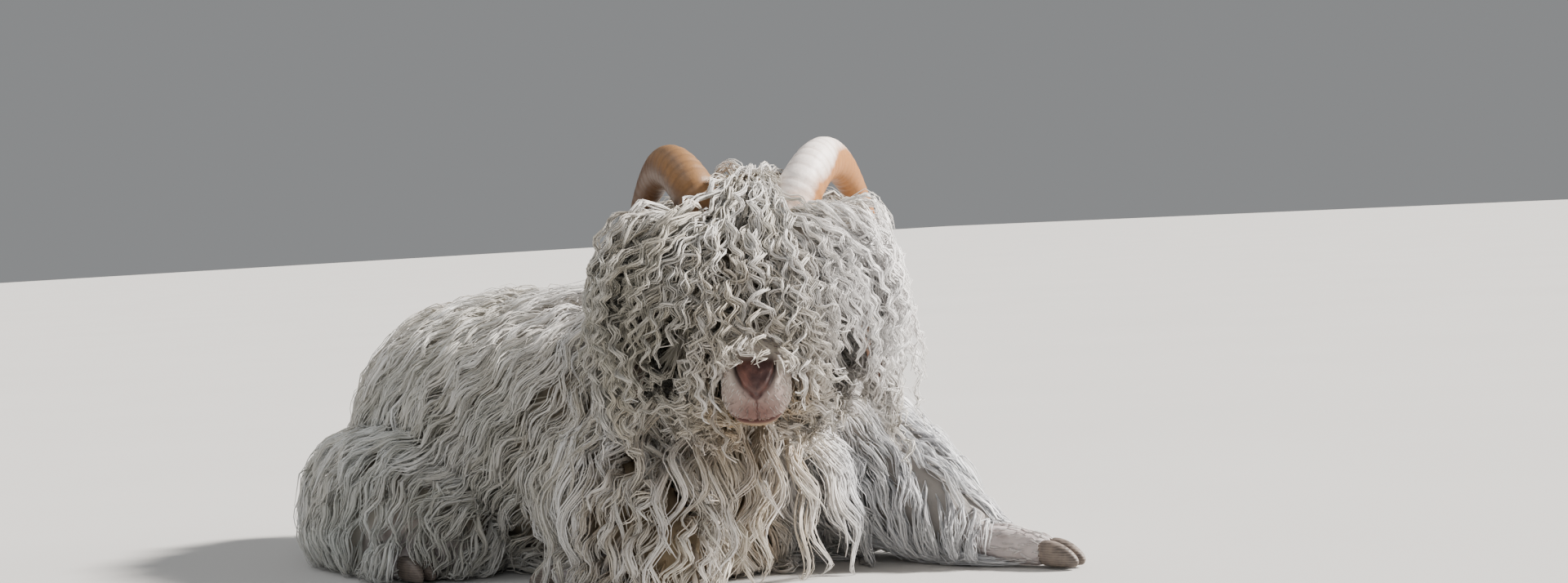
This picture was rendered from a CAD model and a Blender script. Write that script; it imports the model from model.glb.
import math
import random

import bmesh
import bpy
import numpy as np
from mathutils import Matrix, Vector
from mathutils.bvhtree import BVHTree


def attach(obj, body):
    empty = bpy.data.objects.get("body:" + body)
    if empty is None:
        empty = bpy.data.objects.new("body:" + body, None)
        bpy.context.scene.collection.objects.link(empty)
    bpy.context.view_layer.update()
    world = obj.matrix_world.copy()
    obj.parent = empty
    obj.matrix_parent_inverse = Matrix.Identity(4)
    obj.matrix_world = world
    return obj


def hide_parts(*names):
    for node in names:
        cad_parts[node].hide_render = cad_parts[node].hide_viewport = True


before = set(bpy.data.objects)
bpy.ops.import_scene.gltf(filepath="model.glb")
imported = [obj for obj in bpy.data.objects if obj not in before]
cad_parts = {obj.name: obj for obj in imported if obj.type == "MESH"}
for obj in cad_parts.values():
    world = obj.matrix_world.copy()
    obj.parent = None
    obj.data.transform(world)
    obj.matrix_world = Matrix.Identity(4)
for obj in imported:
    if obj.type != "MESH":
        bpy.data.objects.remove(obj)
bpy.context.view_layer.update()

# The goat's own sizes, as in the solids, in metres
BACK_HEIGHT = 0.292
CHEST_FRONT = -0.262
RUMP_END = 0.362
POLL = Vector((-0.060, -0.369, 0.373))
HEAD_TURN = math.radians(40)
FACE_DROP = math.radians(41)
HEAD_LENGTH = 0.208
HORN_ARC_RADIUS = 0.068
HORN_SWEEP = math.radians(215)
HORN_BASE_RADIUS = 0.0275
HORN_ROOT_DEPTH = 0.004
HORN_GAP = 0.030
HORN_FLARE = 0.110
EYE_RADIUS = 0.0130
SKIN_VOXEL = 0.0047

# The goat's own right and left
SIDES = {-1: "right", 1: "left"}

UP = Vector((0, 0, 1))
DOWN = Vector((0, 0, -1))
BACKWARD = Vector((0, 1, 0))
ACROSS = Vector((1, 0, 0))
HEADING = Vector((-math.sin(HEAD_TURN), -math.cos(HEAD_TURN), 0))
MUZZLE_WAY = HEADING * math.cos(FACE_DROP) + DOWN * math.sin(FACE_DROP)
BROW_WAY = HEADING * math.sin(FACE_DROP) + UP * math.cos(FACE_DROP)
LEFT_WAY = BROW_WAY.cross(MUZZLE_WAY)


def at_head(along, out, left):
    """A place from its distances down the face, out of the brow and to the goat's left."""
    return POLL + MUZZLE_WAY * along + BROW_WAY * out + LEFT_WAY * left


def head_place(place):
    from_poll = place - POLL
    return from_poll.dot(MUZZLE_WAY), from_poll.dot(BROW_WAY), from_poll.dot(LEFT_WAY)


def off_middle(place):
    return (place - POLL).dot(LEFT_WAY)


def eye_centre(side):
    return at_head(0.062, -0.026, side * 0.0445)


def eye_distance(place):
    return min((place - eye_centre(side)).length for side in SIDES)


# Meshes from points


def smooth_rows(rows, count):
    """Rows of numbers resampled on a Catmull-Rom curve."""
    last = len(rows) - 1
    made = []
    for i in range(count):
        place = last * i / (count - 1)
        k = min(int(place), last - 1)
        t = place - k
        before, a, b, after = rows[max(k - 1, 0)], rows[k], rows[k + 1], rows[min(k + 2, last)]
        made.append(tuple(
            0.5 * (2 * q + (r - p) * t + (2 * p - 5 * q + 4 * r - s) * t * t
                   + (3 * q - p - 3 * r + s) * t ** 3)
            for p, q, r, s in zip(before, a, b, after)))
    return made


def ring_faces(ring_count, sides):
    faces = []
    for ring in range(ring_count - 1):
        for k in range(sides):
            a, b = ring * sides + k, ring * sides + (k + 1) % sides
            faces.append((a, b, b + sides, a + sides))
    first, last = ring_count * sides, ring_count * sides + 1
    top = (ring_count - 1) * sides
    for k in range(sides):
        faces.append((first, (k + 1) % sides, k))
        faces.append((last, top + k, top + (k + 1) % sides))
    return faces


def link(thing):
    bpy.context.scene.collection.objects.link(thing)
    return thing


def add_object(name, points, faces):
    """A new mesh with its faces turned outwards."""
    mesh = bpy.data.meshes.new(name)
    mesh.from_pydata([tuple(p) for p in points], [], faces)
    turned = bmesh.new()
    turned.from_mesh(mesh)
    bmesh.ops.recalc_face_normals(turned, faces=turned.faces)
    turned.to_mesh(mesh)
    turned.free()
    return link(bpy.data.objects.new(name, mesh))


def add_values(mesh, name, values):
    """A number at each point of a mesh, for its material."""
    values = np.ravel(values).astype(np.float32)
    mesh.attributes.new(name, "FLOAT", "POINT").data.foreach_set("value", values)


def loft(name, rows, sides, across_way=None, squareness=2.0):
    """A closed tube through rows of (centre x, y, z, half width, half height)."""
    centres = [Vector(row[:3]) for row in rows]
    points = []
    for i, row in enumerate(rows):
        way = (centres[min(i + 1, len(rows) - 1)] - centres[max(i - 1, 0)]).normalized()
        across = across_way or way.cross(UP)
        across = (across - way * across.dot(way)).normalized()
        high = across.cross(way)
        for k in range(sides):
            turn = 2 * math.pi * (k + 0.5) / sides
            c, s = math.cos(turn), math.sin(turn)
            c = math.copysign(abs(c) ** (2 / squareness), c)
            s = math.copysign(abs(s) ** (2 / squareness), s)
            points.append(centres[i] + across * c * row[3] + high * s * row[4])
    for end, inner in ((0, 1), (-1, -2)):
        way = (centres[end] - centres[inner]).normalized()
        points.append(centres[end] + way * 0.4 * min(rows[end][3:5]))
    return add_object(name, points, ring_faces(len(rows), sides))


def smooth_loft(name, rows, ring_count, sides, across_way=None, squareness=2.0):
    return loft(name, smooth_rows(rows, ring_count), sides, across_way, squareness)


def rest_on_floor(thing, height=0.0):
    for point in thing.data.vertices:
        point.co.z = max(point.co.z, height)


def select_only(*things):
    bpy.ops.object.select_all(action="DESELECT")
    for thing in things:
        thing.select_set(True)
    bpy.context.view_layer.objects.active = things[0]


def apply_modifiers(thing):
    select_only(thing)
    for modifier in list(thing.modifiers):
        bpy.ops.object.modifier_apply(modifier=modifier.name)


def search_tree(things):
    """One search tree over several meshes."""
    points, faces = [], []
    for thing in things:
        thing.data.calc_loop_triangles()
        base = len(points)
        points += [v.co.copy() for v in thing.data.vertices]
        faces += [tuple(base + i for i in t.vertices) for t in thing.data.loop_triangles]
    return BVHTree.FromPolygons(points, faces)


def unwrap(thing):
    select_only(thing)
    bpy.ops.object.mode_set(mode="EDIT")
    bpy.ops.mesh.select_all(action="SELECT")
    bpy.ops.uv.smart_project(angle_limit=math.radians(66), island_margin=0.002)
    bpy.ops.object.mode_set(mode="OBJECT")


# The skin: the flesh below the wool, as one surface


def torso_flesh():
    stations = (
        (CHEST_FRONT, 0.045, 0.205, 0.075), (-0.238, 0.086, 0.248, 0.035),
        (-0.175, 0.120, BACK_HEIGHT - 0.006, -0.02), (-0.060, 0.148, BACK_HEIGHT, -0.03),
        (0.070, 0.168, BACK_HEIGHT - 0.008, -0.03), (0.190, 0.160, BACK_HEIGHT - 0.010, -0.03),
        (0.285, 0.138, BACK_HEIGHT - 0.028, -0.02), (0.340, 0.098, BACK_HEIGHT - 0.070, 0.025),
        (RUMP_END, 0.048, BACK_HEIGHT - 0.105, 0.075),
    )
    rows = [(0, y, (top + low) / 2, half, (top - low) / 2) for y, half, top, low in stations]
    return smooth_loft("torso", rows, 40, 48, ACROSS)


def neck_flesh():
    occiput = at_head(-0.012, -0.052, 0)
    rows = ((0.000, -0.150, 0.180, 0.100, 0.100), (0.000, -0.215, 0.228, 0.092, 0.096),
            (-0.006, -0.268, 0.272, 0.088, 0.090), (-0.016, -0.302, 0.315, 0.080, 0.080),
            (occiput.x, occiput.y, occiput.z, 0.056, 0.064))
    return smooth_loft("neck", rows, 24, 36, ACROSS)


# Forms in the head's middle plane: rings, sides, squareness and (along, top, bottom, half width)
HEAD_FORMS = {
    "head": (50, 48, 2.3, (
        (-0.046, -0.022, -0.060, 0.026), (-0.030, -0.006, -0.078, 0.042),
        (0.000, 0.000, -0.092, 0.048), (0.040, 0.004, -0.104, 0.055),
        (0.070, 0.003, -0.106, 0.054), (0.105, -0.003, -0.094, 0.041),
        (0.140, -0.006, -0.086, 0.034), (0.170, -0.007, -0.081, 0.032),
        (0.192, -0.009, -0.079, 0.031), (HEAD_LENGTH, -0.016, -0.070, 0.023))),
    # The dense underwool that the forelock and topknot grow through
    "topknot_wool": (30, 40, 2.6, (
        (-0.056, 0.008, -0.050, 0.034), (-0.040, 0.026, -0.055, 0.060),
        (0.000, 0.034, -0.044, 0.078), (0.036, 0.030, -0.022, 0.072),
        (0.066, 0.020, -0.014, 0.048), (0.092, 0.010, -0.012, 0.030))),
    # The broad dome that the head's hair hangs over: it guides the locks and isn't kept
    "mop_shape": (24, 40, 2.6, (
        (-0.040, 0.030, -0.070, 0.080), (0.000, 0.042, -0.100, 0.104),
        (0.045, 0.036, -0.120, 0.109), (0.090, 0.022, -0.130, 0.110),
        (0.125, 0.008, -0.125, 0.096), (0.148, -0.012, -0.112, 0.066))),
}
# Forms of the legs: rings, sides and (centre x, y, z, half width, half height)
FORELEGS = {
    "forearm_left": (24, 28, (
        (0.095, -0.085, 0.148, 0.066, 0.098), (0.136, -0.170, 0.136, 0.066, 0.094),
        (0.164, -0.248, 0.108, 0.060, 0.078), (0.182, -0.312, 0.078, 0.050, 0.058),
        (0.192, -0.366, 0.050, 0.036, 0.038), (0.198, -0.410, 0.030, 0.022, 0.024))),
    "shank_fore_left": (20, 24, (
        (0.184, -0.370, 0.036, 0.018, 0.019), (0.197, -0.412, 0.026, 0.0165, 0.018),
        (0.207, -0.446, 0.021, 0.0185, 0.020), (0.215, -0.474, 0.018, 0.0170, 0.018),
        (0.219, -0.490, 0.016, 0.0165, 0.016))),
    "forearm_right": (24, 28, (
        (-0.085, -0.110, 0.105, 0.060, 0.070), (-0.112, -0.190, 0.092, 0.056, 0.062),
        (-0.128, -0.262, 0.066, 0.044, 0.048), (-0.136, -0.312, 0.046, 0.034, 0.038),
        (-0.138, -0.334, 0.040, 0.020, 0.024))),
    "shank_fore_right": (20, 24, (
        (-0.140, -0.322, 0.026, 0.018, 0.020), (-0.152, -0.270, 0.021, 0.016, 0.018),
        (-0.164, -0.215, 0.018, 0.017, 0.018), (-0.170, -0.180, 0.016, 0.016, 0.016),
        (-0.172, -0.166, 0.016, 0.015, 0.015))),
}
# One hind leg, for the left side
HIND_LEG = {
    "thigh_": (24, 30, (
        (0.108, 0.312, 0.070, 0.056, 0.062), (0.150, 0.255, 0.060, 0.068, 0.074),
        (0.175, 0.175, 0.056, 0.074, 0.082), (0.178, 0.098, 0.056, 0.062, 0.076),
        (0.172, 0.035, 0.048, 0.046, 0.056), (0.160, 0.004, 0.044, 0.022, 0.034))),
    "shank_hind_": (24, 24, (
        (0.188, 0.262, 0.040, 0.022, 0.030), (0.210, 0.232, 0.030, 0.020, 0.026),
        (0.222, 0.180, 0.022, 0.017, 0.019), (0.226, 0.118, 0.019, 0.0165, 0.018),
        (0.228, 0.078, 0.017, 0.0180, 0.018), (0.228, 0.048, 0.016, 0.0165, 0.016))),
}


def head_form(name):
    rings, sides, squareness, sections = HEAD_FORMS[name]
    rows = [(*at_head(along, (top + low) / 2, 0), half, (top - low) / 2)
            for along, top, low, half in sections]
    return smooth_loft(name, rows, rings, sides, LEFT_WAY, squareness)


def legs_flesh():
    legs = dict(FORELEGS)
    for side, word in SIDES.items():
        for name, (rings, sides, rows) in HIND_LEG.items():
            legs[name + word] = rings, sides, [(side * x, *rest) for x, *rest in rows]
    return [smooth_loft(name, rows, rings, sides) for name, (rings, sides, rows) in legs.items()]


def tail_flesh():
    rows = ((0, 0.325, 0.215, 0.020, 0.020), (0, 0.362, 0.212, 0.021, 0.018),
            (0, 0.392, 0.190, 0.018, 0.015), (0, 0.408, 0.160, 0.010, 0.009))
    return smooth_loft("tail", rows, 14, 18, ACROSS)


def cheek_wool(side):
    sections = ((-0.030, -0.060, 0.046, 0.030, 0.040), (0.010, -0.085, 0.050, 0.030, 0.040),
                (0.050, -0.090, 0.044, 0.024, 0.030), (0.085, -0.084, 0.034, 0.014, 0.018))
    rows = [(*at_head(along, out, side * left), half, high)
            for along, out, left, half, high in sections]
    return smooth_loft("cheek_wool_" + SIDES[side], rows, 24, 28, LEFT_WAY)


def breast_shape():
    """The front that the chest's long locks hang over, past the folded knee. It isn't kept."""
    rows = ((-0.020, -0.262, -0.020, 0.150, 0.084), (-0.026, -0.262, 0.060, 0.142, 0.085),
            (-0.034, -0.256, 0.120, 0.122, 0.083), (-0.026, -0.238, 0.190, 0.100, 0.074),
            (-0.010, -0.222, 0.260, 0.080, 0.066))
    return smooth_loft("breast_shape", rows, 24, 40, ACROSS)


def flesh_forms():
    forms = [torso_flesh(), neck_flesh(), head_form("head"), tail_flesh()]
    forms += [head_form("topknot_wool"), cheek_wool(-1), cheek_wool(1), *legs_flesh()]
    for form in forms:
        rest_on_floor(form)
    return forms


# How far down the face each round of finer mesh begins
FINE_FROM = (0.118, 0.150)


def make_skin(forms):
    """The forms as one smooth surface, finer on the muzzle and round the eyes."""
    select_only(*forms)
    bpy.ops.object.join()
    skin = forms[0]
    skin.name = skin.data.name = "skin"
    remesh = skin.modifiers.new("Remesh", "REMESH")
    remesh.mode = "VOXEL"
    remesh.voxel_size = SKIN_VOXEL
    smooth = skin.modifiers.new("Smooth", "SMOOTH")
    smooth.factor, smooth.iterations = 0.5, 5
    apply_modifiers(skin)
    mesh = bmesh.new()
    mesh.from_mesh(skin.data)
    for reach in FINE_FROM:
        edges = [e for e in mesh.edges if is_fine(e, reach)]
        bmesh.ops.subdivide_edges(mesh, edges=edges, cuts=1, use_grid_fill=True, smooth=0.4)
    bmesh.ops.triangulate(mesh, faces=[f for f in mesh.faces if len(f.verts) > 4])
    mesh.to_mesh(skin.data)
    mesh.free()
    rest_on_floor(skin, 0.0004)
    return skin


def is_fine(edge, reach):
    middle = (edge.verts[0].co + edge.verts[1].co) / 2
    along, out, left = head_place(middle)
    return (along > reach and abs(left) < 0.06 and out > -0.12) or eye_distance(middle) < 0.026


def eye_way(side):
    return (LEFT_WAY * side + MUZZLE_WAY * 0.35 + BROW_WAY * 0.25).normalized()


def bump_of(distance, width):
    """1 on a line or point, falling smoothly to 0 at width."""
    share = min(abs(distance) / width, 1)
    return (1 - share * share) ** 2


def to_segment(u, v, a, b):
    """Distance in the plane from (u, v) to the segment a-b, and the share along it."""
    du, dv = b[0] - a[0], b[1] - a[1]
    share = min(max(((u - a[0]) * du + (v - a[1]) * dv) / (du * du + dv * dv), 0), 1)
    return math.hypot(u - a[0] - du * share, v - a[1] - dv * share), share


# Places on the muzzle's front as (left, out), or as out alone, and depths of its relief
MOUTH_FRONT = -0.0600
NOSTRIL_TOP = (0.0300, -0.0075)
NOSTRIL_FOOT = (0.0060, -0.0262)
PHILTRUM_TOP = -0.0305
PAD_EDGE = (0.0315, 0.0345)
NOSTRIL_DEPTH, RIM_HEIGHT, GROOVE_DEPTH = 0.0055, 0.0013, 0.0016
UPPER_LIP, LOWER_LIP, MOUTH_DEPTH = 0.0020, 0.0010, 0.0038
MASKS = ("nose", "hollow", "lip", "chin", "bare", "lid")


def mouth_height(along):
    return MOUTH_FRONT - 0.004 * min(max((0.205 - along) / 0.08, 0), 1)


def nostril_line(left):
    """The height of the nostrils' slanting line at a distance from the middle."""
    share = (abs(left) - NOSTRIL_FOOT[0]) / (NOSTRIL_TOP[0] - NOSTRIL_FOOT[0])
    return NOSTRIL_FOOT[1] + (NOSTRIL_TOP[1] - NOSTRIL_FOOT[1]) * share


def ease(value, low, high):
    share = min(max((value - low) / (high - low), 0), 1)
    return share * share * (3 - 2 * share)


def sculpt_face(skin):
    """Nose pad, nostrils, lips, mouth line and lids, as moves of the skin's points and as masks."""
    mesh = skin.data
    masks = {name: np.zeros(len(mesh.vertices), np.float32) for name in MASKS}
    moves = []
    for i, vert in enumerate(mesh.vertices):
        along, out, left = head_place(vert.co)
        move = Vector()
        if along > 0.10 and abs(left) < 0.06 and -0.12 < out < 0.03:
            move += muzzle_move(i, along, out, left, vert.normal, masks)
        for side in SIDES:
            off = vert.co - eye_centre(side)
            if off.length < 0.030:
                move += lid_move(i, off, side, masks)
        masks["bare"][i] = bareness(vert.co, along, out, left)
        moves.append(move)
    for vert, move in zip(mesh.vertices, moves):
        vert.co += move
    for name, values in masks.items():
        add_values(mesh, name, values)


def muzzle_move(i, along, out, left, normal, masks):
    """The move of one point of the muzzle's relief; its masks are set on the way."""
    front = ease(along, 0.168, 0.186)
    away, share = to_segment(abs(left), out, NOSTRIL_FOOT, NOSTRIL_TOP)
    slit = bump_of(away, 0.0030 + 0.0028 * share) * (0.15 + 0.85 * share) * front
    rim = bump_of(away - 0.0058, 0.0040) * front
    join, _ = to_segment(abs(left), out, NOSTRIL_FOOT, (0.0, PHILTRUM_TOP))
    groove = bump_of(join, 0.0018) * front
    if mouth_height(along) < out < PHILTRUM_TOP:
        groove = max(groove, bump_of(left, 0.0015) * front)
    move = normal * (RIM_HEIGHT * rim * (1 - slit) - NOSTRIL_DEPTH * slit - GROOVE_DEPTH * groove)
    pad = ease(out - nostril_line(left), -0.0035, 0.0) * (1 - ease(abs(left), *PAD_EDGE))
    fade = ease(along, 0.126, 0.150)
    gap = out - mouth_height(along)
    line = bump_of(gap, 0.0027) * fade
    upper, lower = bump_of(gap - 0.0075, 0.0075), bump_of(gap + 0.0065, 0.0060)
    move += normal * (UPPER_LIP * upper + LOWER_LIP * lower - MOUTH_DEPTH * line) * fade
    masks["nose"][i], masks["hollow"][i] = pad * front, slit
    masks["lip"][i] = max(groove * 0.8, bump_of(gap, 0.0085) * fade)
    masks["chin"][i] = ease(-gap, 0.001, 0.006) * fade
    return move


def lid_move(i, off, side, masks):
    """A lid's fold round the eye, open along an almond in front of it."""
    way = eye_way(side)
    ahead = off.dot(way)
    flat = off - way * ahead
    across, up = flat.dot(MUZZLE_WAY), flat.dot(BROW_WAY)
    almond = math.hypot(across / 0.0135, up / 0.0070)
    move = Vector()
    if ahead > -0.004:
        opening = bump_of(max(almond - 0.55, 0), 0.5)
        if almond < 1.0:
            move -= way * max(ahead - 0.0045, 0) * min(1, (1.05 - almond) * 4)
        ring = bump_of(almond - 1.25, 0.55)
        move += way * (EYE_RADIUS + 0.0012 - ahead) * ring * 0.85 * (1 if almond >= 1.0 else 0)
        masks["lid"][i] = max(masks["lid"][i], ring, opening)
    return move


def bareness(place, along, out, left):
    """Where the hair is short: the muzzle's end, and the shanks near the hooves."""
    muzzle = min(max((along - 0.128) / 0.03, 0), 1) if abs(left) < 0.06 and out > -0.13 else 0
    ends = (Vector((0.2187, -0.487, 0)), Vector((-0.1722, -0.168, 0)),
            Vector((0.228, 0.052, 0)), Vector((-0.228, 0.052, 0)))
    shank = max(min(max((0.095 - (place - end).length) / 0.03, 0), 1) for end in ends)
    return max(muzzle, shank)


def horn_centre(side, share):
    turn = HORN_SWEEP * share
    centre = POLL - UP * HORN_ROOT_DEPTH + UP * HORN_ARC_RADIUS * math.sin(turn)
    centre -= HEADING * HORN_ARC_RADIUS * (1 - math.cos(turn))
    return centre + LEFT_WAY * side * (HORN_GAP + HORN_FLARE * share ** 0.85)


def horn_radius(share):
    return HORN_BASE_RADIUS * (1 - share) ** 0.62 + 0.003


# Coat: how the mohair lies, region by region


def outwards(place):
    return Vector((1 if place.x > 0 else -1, 0, 0))


def lie_on_trunk(place):
    parting = min(1, abs(place.x) / 0.07)
    back = 0.75 if place.y > -0.15 else 0.15
    return outwards(place) * 0.9 * parting ** 2 + BACKWARD * (back + 0.9 * (1 - parting)) + DOWN * 0.9


def lie_on_rump(place):
    return outwards(place) * 0.25 + BACKWARD * 0.45 + DOWN


def lie_on_neck(place):
    return outwards(place) * 0.35 * min(1, abs(place.x) / 0.07) + DOWN + BACKWARD * 0.10


def lie_on_poll(place):
    along, _, left = head_place(place)
    sideways = math.copysign(1.7 * min(abs(left) / 0.078, 1) ** 1.4, left)
    forward = min(max((along + 0.045) / 0.03, -0.6), 1)
    return MUZZLE_WAY * 0.85 * forward + LEFT_WAY * sideways + DOWN * (0.45 + 0.5 * (1 - forward))


def lie_on_brow(place):
    return MUZZLE_WAY + LEFT_WAY * (off_middle(place) / 0.05) * 0.40 + DOWN * 0.2


def lie_on_temple(place):
    return MUZZLE_WAY * 0.75 + LEFT_WAY * math.copysign(0.45, off_middle(place)) + DOWN * 0.6


def lie_on_cheek(place):
    return DOWN + LEFT_WAY * math.copysign(0.35, off_middle(place)) + MUZZLE_WAY * 0.15


def lie_on_muzzle(place):
    return DOWN + LEFT_WAY * (off_middle(place) / 0.03) * 0.8 - MUZZLE_WAY * 0.5


def lie_down(place):
    return DOWN + outwards(place) * 0.3 + BACKWARD * 0.1


FOREFOOT_WAY = Vector((0.28, -0.96, 0))


def lie_on_foreleg(place):
    low = min(max((0.100 - place.z) / 0.05, 0), 1)
    way = DOWN * (0.9 + 1.2 * low) + FOREFOOT_WAY * (0.7 - 0.4 * low)
    if place.x > 0.136 - 0.26 * (place.y + 0.17):
        return way + outwards(place) * 0.35 * (1 - low)
    return way + Vector((-0.95, -0.25, 0)) * 1.3 * low


def lie_on_shank(place):
    return FOREFOOT_WAY if place.y < -0.3 else DOWN * 0.3 - BACKWARD


# For each kind of lock: spacing, length, height over the skin, curl's radius and pitch,
# the lock's radius, its fibres' radius and number, points along it, and its lie
LOCKS = {
    "topknot": (0.0090, 0.165, 0.026, 0.0056, 0.031, 0.0042, 0.00085, 7, 28, lie_on_poll),
    "temple": (0.0100, 0.135, 0.022, 0.0054, 0.031, 0.0042, 0.00088, 7, 24, lie_on_temple),
    "crown": (0.0062, 0.038, 0.020, 0.0009, 0.024, 0.0062, 0.00052, 9, 5, lie_on_poll),
    "tuft": (0.0078, 0.060, 0.044, 0.0016, 0.026, 0.0066, 0.00055, 10, 6, lie_on_poll),
    "brow": (0.0077, 0.150, 0.022, 0.0052, 0.029, 0.0040, 0.00088, 6, 26, lie_on_brow),
    "cheek": (0.0111, 0.120, 0.022, 0.0052, 0.033, 0.0048, 0.00085, 7, 19, lie_on_cheek),
    "ear": (0.0094, 0.095, 0.022, 0.0054, 0.032, 0.0044, 0.00095, 5, 17, lie_on_cheek),
    "neck": (0.0138, 0.145, 0.034, 0.0066, 0.050, 0.0064, 0.00085, 7, 15, lie_on_neck),
    "chest": (0.0150, 0.225, 0.026, 0.0086, 0.070, 0.0078, 0.00095, 9, 22, lie_on_neck),
    "trunk": (0.0167, 0.130, 0.026, 0.0048, 0.050, 0.0088, 0.00082, 7, 13, lie_on_trunk),
    "rump": (0.0165, 0.105, 0.026, 0.0046, 0.046, 0.0082, 0.00082, 7, 12, lie_on_rump),
    "tail": (0.0095, 0.070, 0.018, 0.0036, 0.038, 0.0066, 0.00085, 6, 10, lie_on_rump),
    "thigh": (0.0169, 0.100, 0.024, 0.0046, 0.044, 0.0086, 0.00082, 7, 12, lie_down),
    "forearm": (0.0121, 0.075, 0.018, 0.0022, 0.050, 0.0078, 0.00064, 8, 8, lie_on_foreleg),
    "elbow": (0.0132, 0.085, 0.022, 0.0046, 0.040, 0.0076, 0.00082, 6, 11, lie_down),
    "knee": (0.0132, 0.080, 0.030, 0.0056, 0.044, 0.0074, 0.00090, 7, 12, lie_down),
    "shank": (0.0064, 0.016, 0.0025, 0.0005, 0.030, 0.0014, 0.0006, 2, 5, lie_on_shank),
    "muzzle": (0.00255, 0.0065, 0.0008, 0.0001, 0.020, 0.0006, 0.00025, 1, 4, lie_on_muzzle),
}

# Distances along or out from the poll, and from horns and eyes, that bound the kinds of lock
FRINGE_END = 0.185
HORN_ROOT_CLEAR = 0.031
EYE_CLEAR = 0.015
SHANK_CLEAR = 0.007
MUZZLE_START = 0.124
# Distances along the trunk that bound them
RUMP_START = 0.30
CHEST_END = -0.19
KNEE_END = -0.235
# Heights over the floor up to which the belly, the legs and the shanks grow nothing
BELLY_BARE, LEG_BARE, SHANK_BARE = 0.020, 0.022, 0.004
# Where the bare nose pad starts, half its width, and the bare strip each side of the mouth line
PAD_START, PAD_HALF, LIP_BARE = 0.172, 0.032, 0.0042


def on_crown(along, out, left):
    return along < 0.020 and out > -0.040


def on_temple(along, out, left):
    return 0.034 < abs(left) and -0.015 < along < 0.075 and out > -0.075


def on_tuft(along, out, left):
    return 0.040 < abs(left) and along < 0.016 and out > -0.030


def kind_of(place, part):
    """The kind of lock that grows at a place on the skin, from the flesh form nearest to it."""
    along, out, left = head_place(place)
    horn_root = min((place - horn_centre(side, share)).length
                    for side in SIDES for share in (0.03, 0.10, 0.17))
    if horn_root < HORN_ROOT_CLEAR:
        return None
    if part == "topknot_wool":
        return "topknot" if along < 0.040 else "brow"
    if part.startswith("cheek_wool"):
        return "cheek"
    if part == "head":
        if along > MUZZLE_START:
            pad = (along > PAD_START and abs(left) < PAD_HALF
                   and out > nostril_line(left) - 0.002)
            return None if pad or abs(out - mouth_height(along)) < LIP_BARE else "muzzle"
        if eye_distance(place) < EYE_CLEAR:
            return None
        if out > -0.062 and along < 0.045:
            return "topknot"
        return "brow" if out > -0.020 and along < 0.115 else "cheek"
    if part == "neck":
        return "chest" if place.z < 0.25 and place.y < -0.22 else "neck"
    if part == "torso":
        if place.z < BELLY_BARE:
            return None
        if place.y > RUMP_START:
            return "rump"
        return "chest" if place.y < CHEST_END else "trunk"
    if part.startswith("shank"):
        return "shank" if place.z > SHANK_BARE else None
    if place.z < LEG_BARE:
        return None
    if part == "forearm_left":
        return "forearm"
    if part == "forearm_right":
        return "knee" if place.y < KNEE_END else "elbow"
    return "tail" if part == "tail" else "thigh"


def part_at(trees, place):
    """The flesh form that is nearest, a shank only where it stands clear of the rest."""
    away = {name: tree.find_nearest(place)[3] for name, tree in trees.items()}
    woolly = min((name for name in away if not name.startswith("shank")), key=away.get)
    return min(away, key=away.get) if away[woolly] > SHANK_CLEAR else woolly


def read(items, name, width, kind=np.float32):
    """One property of all of a mesh's items, as rows."""
    values = np.zeros(len(items) * width, kind)
    items.foreach_get(name, values)
    return values.reshape(-1, width)


def skin_samples(skin, number, seed):
    """Places spread evenly over a mesh by area, with normals and the unwrap's place."""
    mesh = skin.data
    mesh.calc_loop_triangles()
    triangles = mesh.loop_triangles
    corner = read(triangles, "vertices", 3, np.int32)
    loops = read(triangles, "loops", 3, np.int32)
    area = read(triangles, "area", 1)[:, 0]
    normal = read(triangles, "normal", 3)
    place = read(mesh.vertices, "co", 3)
    unwrap = read(mesh.uv_layers.active.data, "uv", 2)
    draw = np.random.default_rng(seed)
    picks = draw.choice(len(triangles), number, p=area / area.sum())
    u, v = np.sort(draw.random((2, number)), axis=0)
    weights = np.stack([u, v - u, 1 - v], 1)[:, :, None]
    spots = (place[corner[picks]] * weights).sum(1)
    unwrapped = (unwrap[loops[picks]] * weights).sum(1)
    return spots, normal[picks], unwrapped


def thin_out(spots, kinds, order):
    """Keeps samples that are no nearer another of their kind than its spacing."""
    cells, kept = {}, []
    for i in order:
        kind = kinds[i]
        if kind is None:
            continue
        gap = LOCKS[kind][0]
        key = tuple(int(math.floor(c / gap)) for c in spots[i])
        near = (cells.get((kind, key[0] + a, key[1] + b, key[2] + c), ())
                for a in (-1, 0, 1) for b in (-1, 0, 1) for c in (-1, 0, 1))
        if any(np.sum((spots[i] - spots[j]) ** 2) < gap * gap for cell in near for j in cell):
            continue
        cells.setdefault((kind, *key), []).append(i)
        kept.append(i)
    return kept


def along_surface(way, normal):
    flat = way - normal * way.dot(normal)
    return flat.normalized() if flat.length > 1e-4 else DOWN.copy()


GUIDE_STEPS = 10
# Steps along a horn that are looked at, and the share of it that locks may lie across
HORN_SHARES = [0.02 * i for i in range(26)]
HORN_WRAP = 0.13
# Height over a lock's own at which it is left out, and how many of the topknot's stray
FLYAWAY = 0.045
STRAY_SHARE = 0.05
# Locks lie at these shares of their kind's height, and at least this far over the floor
LIFTS = (0.45, 0.62, 0.8, 0.9, 1.0)
FLOOR_GAP = 0.004
# How far locks stay off a horn, and how much further out they are turned aside
CLEAR_OF_HORN, TURN_ASIDE = 0.005, 0.004
# Kinds that may meet the horns, and kinds that may reach the nose
HORN_KINDS = ("topknot", "crown", "temple", "tuft")
NOSE_KINDS = ("topknot", "brow", "temple", "cheek")
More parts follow.
